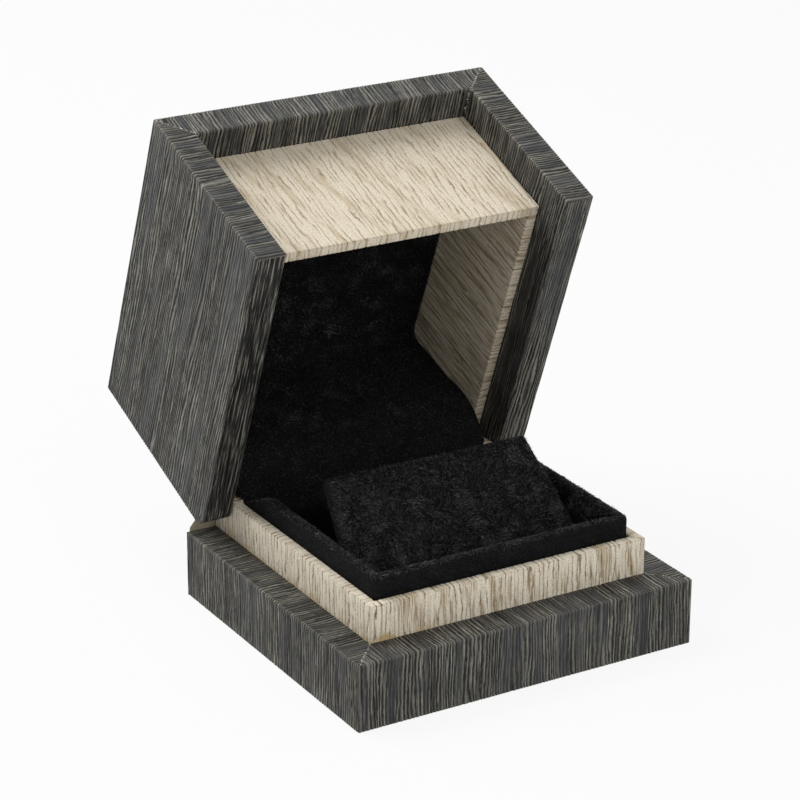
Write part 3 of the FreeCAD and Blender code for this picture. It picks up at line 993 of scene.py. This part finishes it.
def tray_pile(point, normal):
    """Close outside, because the lid's panels pass there, and thinner the less light comes down to it."""
    outside = abs(point.x) > tray_high.x - 0.5 or point.y < tray_low.y + 0.5
    if outside and normal.z < 0.5:
        return (0.9 if point.z > plinth_high.z - 1.0 else 0.0), 0.4
    if point.z < tray_floor - 0.1 or point.y > tray_high.y - 0.5:
        return 0.0, 1.0
    if point.y < shelf_back and point.z < shelf_level:
        density = 0.0
    else:
        # Fewer of the pale fibres stand deeper in the tray, so the cloth shows darker there: painted shade.
        density = 0.9 if point.z > wall_top else 0.3 if point.z > wall_middle else 0.12
    return density, 0.4 + 0.6 * density


tray, tray_fibres = cloth(skin, "tray_plush", 0.5, tray_pile)
for piece in (tray, tray_fibres):
    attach(piece, "base")
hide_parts("tray_velvet")


# In the tray stands the insert: a foam block under a card shelf with its own plush, and behind it the
# earring flap. The shelf's cloth is glued flat and rolls down a little at its edges.
shelf_low, shelf_high = box_of("shelf_velvet")
shelf_roll = 0.8
shelf_fall = 0.35
worn_reach = 1.2
worn_fade = 0.8
flap_crease = next(joint for joint in frame["joints"] if joint["name"] == "flap_crease")
crease = Vector(flap_crease["pos_m"]) / MM


def shelf_place(x, y, t):
    near_edge = min(x - shelf_low.x, shelf_high.x - x, y - shelf_low.y, shelf_high.y - y)
    fall = shelf_fall * (1 - min(1.0, near_edge / shelf_roll)) ** 2
    return Vector((x, y, shelf_high.z - fall - t * (1 - fall)))


def crease_nap(point):
    """The plush is worn down along the flap's crease: 0 on it, and 1 from a little way off."""
    off = math.hypot(point.y - crease.y, point.z - crease.z)
    return min(1.0, max(0.0, off - worn_reach) / worn_fade)


def shelf_pile(point, normal):
    return 1.0, 0.25 + 0.75 * crease_nap(point)


skin = Skin()
shelf_grid = (steps(shelf_low.x, shelf_high.x, 0.6), steps(shelf_low.y, shelf_high.y, 0.5))
slab(skin, *shelf_grid, shelf_place, cloth_thickness - 0.05, one_block)
shelf, shelf_fibres = cloth(skin, "shelf_plush", 0.5, shelf_pile)
for piece in (shelf, shelf_fibres):
    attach(piece, "base")
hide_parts("shelf_velvet")


# The earring flap is a card under plush, narrower at the top, that leans back on its strut and can be
# pulled up on its crease. The cloth is drawn round its edges, a little fuller in the middle than at the
# rim, and one upper corner has a small tuck where it was folded over.
flap_half = box_of("pad_velvet")[1].x
flap_top_half = 22.3
flap_length = 21.5
flap_half_thick = 1.05
flap_corner = 0.8
flap_crown = 0.35
flap_tilt = Matrix.Rotation(math.radians(44.0), 3, "X")
tuck_depth = 0.4
tuck_width = 0.45
tuck_start = 5.5
tuck_slant = (0.35, 0.94)
tuck_reach = (8.0 - flap_top_half, flap_length - 6.0)
edge_lines = [0.0, 0.05, 0.15, 0.3, 0.5, 0.75, 1.05]


def bordered(low, high, step):
    """Grid lines that crowd towards both ends."""
    inner = steps(low + edge_lines[-1], high - edge_lines[-1], step)
    return [low + line for line in edge_lines[:-1]] + inner + [high - line for line in edge_lines[-2::-1]]


def tuck(px, py):
    """How deep the fold near the upper left corner is, a short slanting groove."""
    if px >= tuck_reach[0] or py <= tuck_reach[1]:
        return 0.0
    across = (px + flap_top_half - tuck_start) * tuck_slant[0] + (py - flap_length) * tuck_slant[1]
    return tuck_depth * math.exp(-(across / tuck_width) ** 2)


def flap_place(x, y, t):
    taper = flap_half + (flap_top_half - flap_half) * max(0.0, y) / flap_length
    side = flap_half - abs(x)
    end = min(flap_length - y, y + flap_half_thick)
    if side < flap_corner and end < flap_corner:
        a, b = flap_corner - side, flap_corner - end
        pull = max(a, b) / math.hypot(a, b) if a or b else 1.0
        side, end = flap_corner - a * pull, flap_corner - b * pull
        edge = flap_corner - math.hypot(a * pull, b * pull)
    else:
        edge = min(side, end)
    edge = min(max(edge, 0.0), flap_half_thick)
    thick = math.sqrt(flap_half_thick ** 2 - (flap_half_thick - edge) ** 2)
    px = math.copysign((flap_half - side) * taper / flap_half, x)
    py = flap_length - end if y > flap_length / 2 else end - flap_half_thick
    if t > 0:
        return crease + flap_tilt @ Vector((px, py, -thick))
    from_middle = (py - flap_length / 2) / (flap_length / 2 + 1)
    fullness = max(0.0, 1 - (px / taper) ** 2) * max(0.0, 1 - from_middle ** 2)
    lift = flap_crown * fullness - tuck(px, py) * min(1.0, edge)
    return crease + flap_tilt @ Vector((px, py, thick + lift))


def flap_pile(point, normal):
    facing = normal.dot(flap_tilt @ Vector((0, 0, 1)))
    nap = crease_nap(point)
    density = 1.0 if facing > 0.9 else 0.3 * nap if facing > -0.3 else 0.1 * nap
    return density, (0.4 + 0.6 * density) * (0.3 + 0.7 * nap)


skin = Skin()
flap_grid = (bordered(-flap_half, flap_half, 0.7), bordered(-flap_half_thick, flap_length, 0.7))
slab(skin, *flap_grid, flap_place, 1.0, one_block)
flap, flap_fibres = cloth(skin, "flap_plush", 0.75, flap_pile)
for piece in (flap, flap_fibres):
    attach(piece, "pad")
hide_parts("pad_velvet")


# The spring hinge is plated steel: two bent leaves with flat-headed screws and knuckles on one pin. The
# coil in the middle is wound from wire, close round the pin.
lid_hinge = next(joint for joint in frame["joints"] if joint["name"] == "lid_hinge")
hinge_line = Vector(lid_hinge["pos_m"]) / MM
wire_radius = 0.16
pin_gap = 0.06
knuckle_gap = 0.5


def brushed(name, low, high, roughness):
    made, wire = material(name)
    place = wire.node("ShaderNodeTexCoord", None, None, "Object")
    long_ways = wire.node("ShaderNodeMapping", None, {"Vector": place, "Scale": (0.06, 1.0, 1.0)})
    lines = speckle(wire, long_ways, 0.12, 3.0)
    clouds = speckle(wire, place, 3.0)
    tone = (lines * 0.6 + clouds * 0.4).smooth(0.3, 0.7)
    surface = {"Base Color": tone.tint(low, high), "Metallic": 1.0, "Roughness": roughness + lines * 0.15}
    coat(wire, surface, lines, 0.01)
    return made


finishes["hinge_steel"] = brushed("plated hinge steel", shade(150, 150, 150), shade(205, 205, 202), 0.25)
finishes["screw_steel"] = brushed("zinc-plated screws", shade(160, 152, 128), shade(208, 200, 178), 0.3)


def coil_tree(surface):
    """A wire wound along the hinge line."""
    start = geometry_tree("wind the spring", ["Turns", "Radius", "Length", "Wire radius"])
    length = start.also("Length") * MM
    radius = start.also("Radius") * MM
    winding = {
        "Resolution": 14,
        "Rotations": start.also("Turns"),
        "Start Radius": radius,
        "End Radius": radius,
        "Height": length,
    }
    spiral = start.node("GeometryNodeCurveSpiral", None, winding)
    section = {"Resolution": 6, "Radius": start.also("Wire radius") * MM}
    ring = start.node("GeometryNodeCurvePrimitiveCircle", None, section)
    sweep = {"Curve": spiral, "Profile Curve": ring, "Fill Caps": True}
    wound = spiral.node("GeometryNodeCurveToMesh", None, sweep)
    first_end = {"X": length * -0.5, "Y": hinge_line.y * MM, "Z": hinge_line.z * MM}
    moved = start.node("ShaderNodeCombineXYZ", None, first_end)
    lying = {"Geometry": wound, "Rotation": (0, math.pi / 2, 0), "Translation": moved}
    end_tree(wound.node("GeometryNodeTransform", None, lying), surface)
    return start


spring_low, spring_high = box_of("hinge_spring")
pin_low, pin_high = box_of("hinge_pin")
pin_radius = (pin_high.z - pin_low.z) / 2
spring_size = {
    "Turns": 15.0,
    "Radius": pin_radius + pin_gap + wire_radius,
    "Length": spring_high.x - spring_low.x - knuckle_gap,
    "Wire radius": wire_radius,
}
bare = standing("spring_seed", bpy.data.meshes.new("spring_seed"))
spring = grown("hinge_spring_coil", bare, coil_tree(finishes["hinge_steel"]), spring_size)
bpy.data.objects.remove(bare)
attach(spring, "base")
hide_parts("hinge_spring")


# The lid's shell is a top board on two cheeks. One sheet of the dark paper goes over all three with its
# grain running back, turns over the front edges and the rims of the cheeks and lines the inside. It is
# mitred at the two front corners, and the heels of the cheeks are rounded to clear the ledge.
lid_turn = Matrix.Rotation(math.radians(-lid_hinge["range_deg"][0]), 3, Vector(lid_hinge["axis"]))
heel_round = 2.8
seen_band = 8.0
rim_edge = 0.3
row_spread = 0.01


def opened(point):
    """Where a point of the shut lid is when the lid is open, as it is at rest."""
    return hinge_line + lid_turn @ (point - hinge_line)


def shut_box(node):
    """The corners of a lid node's box with the lid shut."""
    back_turn = lid_turn.inverted()
    points = [hinge_line + back_turn @ (v.co / MM - hinge_line) for v in frame["nodes"][node].data.vertices]
    return Vector(map(min, zip(*points))), Vector(map(max, zip(*points)))


lid_low, lid_high = shut_box("lid_wrap")
inner_low, inner_high = shut_box("inner_wrap")
cheek = lid_high.x - inner_high.x


def heel(point):
    """Rounds the lower back corner of the cheeks."""
    away = point.y - (lid_high.y - heel_round)
    down = lid_low.z + heel_round - point.z
    if away <= 0 or down <= 0:
        return point
    pull = max(away, down) / math.hypot(away, down)
    return Vector((point.x, lid_high.y - heel_round + away * pull, lid_low.z + heel_round - down * pull))


def lid_place(spot, height):
    """The sheet's sides go up one cheek, over the top and down the other, and its height goes back."""
    return opened(heel(Vector((spot.x, height, spot.y))))


lid_rows = fold_rows([
    (0.0, lid_high.y, 0.0, 3.1),
    (cheek, lid_high.y, 0.0, 0.8),
    (cheek, lid_high.y - 2 * heel_round, 0.0, 12.0),
    (cheek, lid_low.y + seen_band, 0.0, 1.2),
    (cheek, lid_low.y, edge_round, 0.9),
    (0.0, lid_low.y, edge_round, 1.6),
    (0.0, lid_high.y - 2 * heel_round, 0.0, 0.8),
    (0.0, lid_high.y, 0.0, 1.0),
])
cheek_height = lid_high.z - lid_low.z
lid_width = lid_high.x - lid_low.x
cheek_run = cheek_height - edge_round
lid_sides = [
    Side((lid_low.x, lid_low.z + edge_round), (0, 1), (1, 0), cheek_run),
    Side((lid_low.x, lid_high.z), (1, 0), (0, -1), lid_width),
    Side((lid_high.x, lid_high.z), (0, -1), (-1, 0), cheek_run),
]
lid_pitch = grain_pitch * 1.2
sheet_run = 2 * cheek_height + lid_width
lid_map = sheet_run + 14.0
lid_blocks = [(0, 0), (cheek_height, 0), (cheek_height + lid_width, 0)]
skin = Skin()
lay_sheet(skin, lid_sides, lid_rows, lid_place, lid_pitch, edge_round, (lid_map, lid_blocks))


def in_order(values):
    """The different values, from low to high."""
    return sorted(set(round(value, 6) for value in values))


def rim(side_x, way, run_start, map_left):
    """Rounds a cheek's lower edge and closes its rim. way is 1 for the left cheek and -1 for the right."""
    # The left cheek's rim is marked for its painted shade.
    relief = rim_shade_relief if way > 0 else 1.0

    def corner(depth, y, z, run, edge):
        flat = (run_start - way * run, lid_rows[-1].girth - (lid_high.y - y))
        spot = ((map_left + run) / lid_map, (y - lid_low.y) / lid_map)
        place = opened(heel(Vector((side_x + way * depth, y, z))))
        return skin.corner(place, flat, spot, relief, far_from_mitre, edge)

    grid = []
    for i in range(turn_steps + 1):
        angle = math.pi / 2 * i / turn_steps
        inset = edge_round * (1 - math.cos(angle))
        z = lid_low.z + edge_round * (1 - math.sin(angle))
        spots = [Vector((row.depth, row.height)) - row.out * inset for row in lid_rows]
        run = edge_round * angle
        grid.append([corner(spot.x, spot.y, z, run + spot.x * row_spread, 1.0) for spot in spots])
    skin.quilt(grid)
    arc = edge_round * (math.pi / 2 - 1)

    def flat_corner(depth, y):
        return corner(depth, y, lid_low.z, arc + depth, rim_edge)

    outer = in_order(spot.y for spot in spots if abs(spot.x - edge_round) < tiny)
    inner = in_order(spot.y for spot in spots if abs(spot.x - cheek + edge_round) < tiny)
    across = steps(edge_round, cheek - edge_round, lid_pitch)
    skin.quilt([[flat_corner(depth, y) for y in outer[1:-1]] for depth in across[1:-1]])
    for depth, beside, line in ((edge_round, across[1], outer), (cheek - edge_round, across[-2], inner)):
        bent = [(y, flat_corner(depth, y)) for y in line]
        skin.zip(bent, [(y, flat_corner(beside, y)) for y in outer[1:-1]])
    for end_y, beside in ((outer[0], outer[1]), (outer[-1], outer[-2])):
        line = in_order(spot.x for spot in spots if abs(spot.y - end_y) < 10 * tiny)
        bent = [(depth, flat_corner(depth, end_y)) for depth in line]
        skin.zip(bent, [(depth, flat_corner(depth, beside)) for depth in across[1:-1]])


rim(lid_low.x, 1, 0.0, sheet_run + 1.0)
rim(lid_high.x, -1, 2 * cheek_run + lid_width, sheet_run + 8.0)
lid_paper = papered("lid_dark_paper", skin, press_dark, dark_relief)
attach(lid_paper, "lid")
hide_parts("lid_wrap")


# The back of the lid is closed with one more sheet of the dark paper. It is glued flat over the turned
# edges of the shell's sheet, and stops a little short of the board's own edges.
back_inset = 0.7
sheet_proud = 0.12
lid_back_x = lid_high.x - back_inset
lid_back_grid = (
    steps(-lid_back_x, lid_back_x, grain_pitch),
    [inner_low.z + 0.6] + steps(inner_low.z + 1.4, lid_high.z - back_inset, 1.5),
)
wide_map = (73.0, (1, 1))


def lid_back_place(x, z, t):
    return opened(Vector((x, lid_high.y + sheet_proud - t, z)))


skin = Skin()
slab(skin, *lid_back_grid, lid_back_place, sheet_proud, wide_map)
lid_back = papered("lid_back_paper", skin, press_dark, dark_relief)
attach(lid_back, "lid")


# Inside the lid stand three panels papered in light oak, which meet the plinth when the lid is shut. The
# sheet goes from behind the panels over their rim and up inside, and its grain runs up and down the shut
# box, as on the plinth.
panel_rows = fold_rows([
    (thin_wall, inner_high.z, 0.0, 2.5),
    (thin_wall, inner_low.z, oak_round, 1.1),
    (0.0, inner_low.z, oak_round, 1.1),
    (0.0, inner_high.z, 0.0, 1.0),
])
panel_lined = lined(panel_rows, paper)
panel_depth = inner_high.y - inner_low.y
panel_width = inner_high.x - inner_low.x
panel_sides = left_front_right(inner_low, inner_high, inner_high.y)
panel_corner = 0.15
panel_spread = (130.0, [(0, 0), (65, 0), (0, 65)])
finishes["oak_paper"] = oak_paper(
    "light oak paper",
    (232, 220, 198),
    (170, 151, 122),
    (128, 108, 84),
    (panel_depth, panel_depth + panel_width),
    False,
)
press_oak = pressing("press the oak grain", oak_grain, finishes["oak_paper"])
oak_relief = {
    "Grain depth": 0.12,
    "Mitre depth": 0.05,
    "Waviness": 0.04,
    "Edge swell": 0.0,
    "Edge cut": 0.0,
}


def panel_place(spot, height):
    return opened(level(spot, height))


skin = Skin()
ends = lay_sheet(skin, panel_sides, panel_lined, panel_place, grain_pitch, panel_corner, panel_spread)
for end in ends:
    close_sheet_end(skin, panel_lined, end, len(panel_rows))
panel_paper = papered("lid_oak_paper", skin, press_oak, oak_relief)
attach(panel_paper, "lid")
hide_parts("inner_wrap")


# One length of plush lines the lid. It starts on the back wall of the tray, comes over the steel hinge in
# a slack bend, goes up the padded back of the lid, turns at the far corner and runs out under the top to
# the front panel.
lining_gap = 0.15
lining_roll = 1.2
roll_depth = 0.5
widening = 1.5
corner_cuts = 3


class Trail:
    """A soft line in the (y, z) plane that rounds off its corners, walked by its length."""

    def __init__(self, corners):
        points = [Vector(corner) for corner in corners]
        for _ in range(corner_cuts):
            cut = [points[0]]
            for a, b in zip(points, points[1:]):
                cut += [a.lerp(b, 0.25), a.lerp(b, 0.75)]
            points = cut + [points[-1]]
        self.points = points
        self.marks = [0.0]
        for a, b in zip(points, points[1:]):
            self.marks.append(self.marks[-1] + (b - a).length)
        self.length = self.marks[-1]

    def at(self, run):
        """The point there and the way to its left."""
        k = 0
        while k < len(self.points) - 2 and self.marks[k + 1] < run:
            k += 1
        a, b = self.points[k], self.points[k + 1]
        here = a.lerp(b, (run - self.marks[k]) / (self.marks[k + 1] - self.marks[k]))
        before = self.points[max(k - 1, 0)]
        after = self.points[min(k + 2, len(self.points) - 1)]
        way = (after - before).normalized()
        return here, Vector((-way.y, way.x))


def shut_line(y, z):
    """A point of the shut lid in the (y, z) plane, where it is when the lid is open."""
    place = opened(Vector((0, y, z)))
    return place.y, place.z


velvet_low, velvet_high = shut_box("lid_velvet")
foam_low = shut_box("lining_foam")[0].z
lining_level = foam_low - cloth_thickness
lining_back = tray_high.y + 0.4
drop_y = box_of("hinge_velvet")[0].y
back_inside = tray_high.y - tray_wall - lining_gap
lining_line = Trail([
    (back_inside, tray_floor + 2.0),
    (back_inside, back_rim - 1.0),
    (back_inside + 0.1, back_rim + 0.8),
    (tray_high.y - 0.3, back_rim + 1.3),
    (drop_y + 1.6, 22.6),
    (30.2, 26.6),
    (34.0, 29.2),
    (39.0, 30.6),
    shut_line(lining_back - 0.7, lining_level - 14.0),
    shut_line(lining_back - 0.4, lining_level - 5.0),
    shut_line(lining_back + 0.2, lining_level + 0.3),
    shut_line(lining_back - 5.0, lining_level + 0.1),
    shut_line(lining_back - 16.0, lining_level - 0.4),
    shut_line(lining_back - 34.0, lining_level - 0.3),
    shut_line(velvet_low.y, lining_level),
])
base_half_width = tray_high.x - tray_wall - lining_gap
lid_half_width = velvet_high.x
lining_runs = zip(lining_line.points, lining_line.marks)
past_tray = next(run for point, run in lining_runs if point.x > tray_high.y + 0.1)


def lining_place(x, run, t):
    """The cloth is wider past the tray, and its side edges roll back."""
    here, out = lining_line.at(run)
    widen = min(1.0, max(0.0, (run - past_tray) / widening))
    half = base_half_width + (lid_half_width - base_half_width) * widen
    side = max(0.0, abs(x) * half / lid_half_width - half + lining_roll) / lining_roll
    sunk = roll_depth * side ** 2 if t == 0 else 0.0
    here = here - out * (t + sunk)
    return Vector((x * half / lid_half_width, here.x, here.y))


# Sparser pile than the tray's, nearly bare down in the tray: fewer pale fibres paint shade there.
def lining_pile(point, normal):
    return (0.45, 0.7) if point.z > back_rim else (0.05, 0.4)


skin = Skin()
lining_grid = (steps(-lid_half_width, lid_half_width, 0.8), steps(0.0, lining_line.length, 0.8))
slab(skin, *lining_grid, lining_place, cloth_thickness + 0.1, one_block)
lining, lining_fibres = cloth(skin, "lining_plush", 0.6, lining_pile)
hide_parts("lid_velvet", "hinge_velvet")
for piece in (lining, lining_fibres):
    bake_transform(piece)


# A strip of the dark paper is the outer hinge: its lower half is glued to the back of the base and its
# upper half to the back of the lid. Above the ledge its plain tan inside shows beside the plinth, where
# it is trimmed slantwise.
def tan_paper():
    made, wire = material("tan paper back")
    place = wire.node("ShaderNodeTexCoord", None, None, "Object")
    fibre = speckle(wire, place, 0.3, 4.0)
    cloud = speckle(wire, place, 2.0)
    tone = (fibre * 0.6 + cloud * 0.4).smooth(0.3, 0.7)
    colour = tone.tint(shade(160, 150, 128), shade(192, 182, 158))
    coat(wire, {"Base Color": colour, "Roughness": 0.8 - fibre * 0.1}, fibre, 0.03)
    return made


strip_low, strip_high = box_of("base_hinge_strip")
strip_half = strip_high.x
strip_paper = 0.15
on_base = base_high.y + strip_paper
on_lid = lid_high.y + sheet_proud + strip_paper
strip_line = Trail([
    (on_base, strip_low.z),
    (on_base, base_top + 1.0),
    (on_base + 0.15, hinge_step - 0.2),
    (base_high.y + 1.0, hinge_step + 0.8),
    shut_line(on_lid, inner_low.z + 1.6),
    shut_line(on_lid, inner_low.z + 4.0),
    shut_line(on_lid, inner_low.z + 7.5),
])
waist_run = hinge_step - strip_low.z + 0.6
waist_half = plinth_high.x + 1.2


def strip_place(x, run, t):
    """The strip is trimmed to a waist beside the plinth."""
    here, out = strip_line.at(run)
    trim = max(0.0, 1 - abs(run - waist_run) / (hinge_step - base_top))
    half = strip_half + (waist_half - strip_half) * trim
    here = here + out * t
    return Vector((x * half / strip_half, here.x, here.y))


strip_relief = {
    "Grain depth": 0.04,
    "Mitre depth": 0.0,
    "Waviness": 0.06,
    "Edge swell": 0.0,
    "Edge cut": 0.0,
}
skin = Skin()
strip_grid = (steps(-strip_half, strip_half, grain_pitch), steps(0.0, strip_line.length, 0.6))
slab(skin, *strip_grid, strip_place, strip_paper, wide_map)
strip = papered("paper_hinge", skin, press_dark, strip_relief)
strip.data.materials.append(tan_paper())
front_side = [mark.value > 0.5 for mark in strip.data.attributes["relief"].data]
for face in strip.data.polygons:
    face.material_index = 0 if any(front_side[v] for v in face.vertices) else 1
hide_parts("base_hinge_strip", "lid_hinge_strip")
bend_start = strip_line.at(waist_run - 1.5)[0] * MM
bend_end = strip_line.at(waist_run + 2.2)[0] * MM
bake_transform(strip)


# The box was photographed with a long lens from the front left and above. It is lit by a soft sky and two
# broad lamps, one high behind its left side and one low in front, and stands on a pale floor.
azimuth, elevation, roll = math.radians(-30.88), math.radians(22.0), math.radians(0.36)
aim = Vector((-3.292, 8.226, 43.419)) * MM
distance = 590.847 * MM
focal_length = 139.85
flatness = math.cos(elevation)
back = Vector((math.sin(azimuth) * flatness, -math.cos(azimuth) * flatness, math.sin(elevation)))
right = (-back).cross(Vector((0, 0, 1))).normalized()
up = right.cross(-back)
turned_right = right * math.cos(roll) + up * math.sin(roll)
turned_up = up * math.cos(roll) - right * math.sin(roll)
lens = bpy.data.cameras.new("camera")
lens.lens = focal_length
lens.clip_start = 0.05
camera = bpy.data.objects.new("camera", lens)
pose = Matrix((turned_right, turned_up, back)).transposed().to_4x4()
pose.translation = aim + back * distance
camera.matrix_world = pose
bpy.context.scene.collection.objects.link(camera)
bpy.context.scene.camera = camera


def seen_white(wire):
    """1 for the camera, gloss and glass, which see plain white, and 0 for what lights the box."""
    path = wire.node("ShaderNodeLightPath", None, None, "Is Camera Ray")
    seen = path.maths("MAXIMUM", path, path.also("Is Glossy Ray"))
    return seen.maths("MAXIMUM", seen, path.also("Is Transmission Ray"))


sky_strength = 0.45
world = bpy.data.worlds.new("studio")
bpy.context.scene.world = world
world.use_nodes = True
world.node_tree.nodes.clear()
sky = Wire(world.node_tree)
white = sky.node("ShaderNodeBackground", None, {"Color": (1, 1, 1, 1), "Strength": 1.0})
soft = sky.node("ShaderNodeBackground", None, {"Color": (1, 1, 1, 1), "Strength": sky_strength})
both = sky.node("ShaderNodeMixShader", None, {0: seen_white(sky), 1: soft, 2: white})
sky.node("ShaderNodeOutputWorld", None, {"Surface": both})


lamp_aim = Vector((0, 0, 0.03))


def lamp(name, place, size, power):
    """A square lamp of this size in metres and power in watts, aimed at the box."""
    light = bpy.data.lights.new(name, "AREA")
    light.size = size
    light.energy = power
    made = bpy.data.objects.new(name, light)
    made.location = place
    made.rotation_mode = "QUATERNION"
    made.rotation_quaternion = (lamp_aim - Vector(place)).to_track_quat("-Z", "Y")
    bpy.context.scene.collection.objects.link(made)


lamp("high_left", (-0.3, 0.35, 0.62), 0.5, 4.2)
lamp("low_front", (0.1, -0.7, 0.38), 0.4, 1.75)

reach = 3.0
floor_corners = [(-reach, -reach, 0), (reach, -reach, 0), (reach, reach, 0), (-reach, reach, 0)]
floor_mesh = bpy.data.meshes.new("floor")
floor_mesh.from_pydata(floor_corners, [], [(0, 1, 2, 3)])
floor = bpy.data.objects.new("floor", floor_mesh)
bpy.context.scene.collection.objects.link(floor)
floor_paper, wire = material("pale floor")
floor_white = 0.9
matte = wire.node("ShaderNodeBsdfDiffuse", None, {"Color": (0.75, 0.75, 0.75, 1)})
glow = wire.node("ShaderNodeEmission", None, {"Color": (1, 1, 1, 1), "Strength": 1.0})
shown = wire.node("ShaderNodeMixShader", None, {0: seen_white(wire) * floor_white, 1: matte, 2: glow})
wire.node("ShaderNodeOutputMaterial", None, {"Surface": shown})
floor_mesh.materials.append(floor_paper)

for node in frame["nodes"].values():
    for slot in node.material_slots:
        slot.material = finishes.get(slot.material.name, slot.material)

bpy.context.scene.view_settings.view_transform = "Standard"
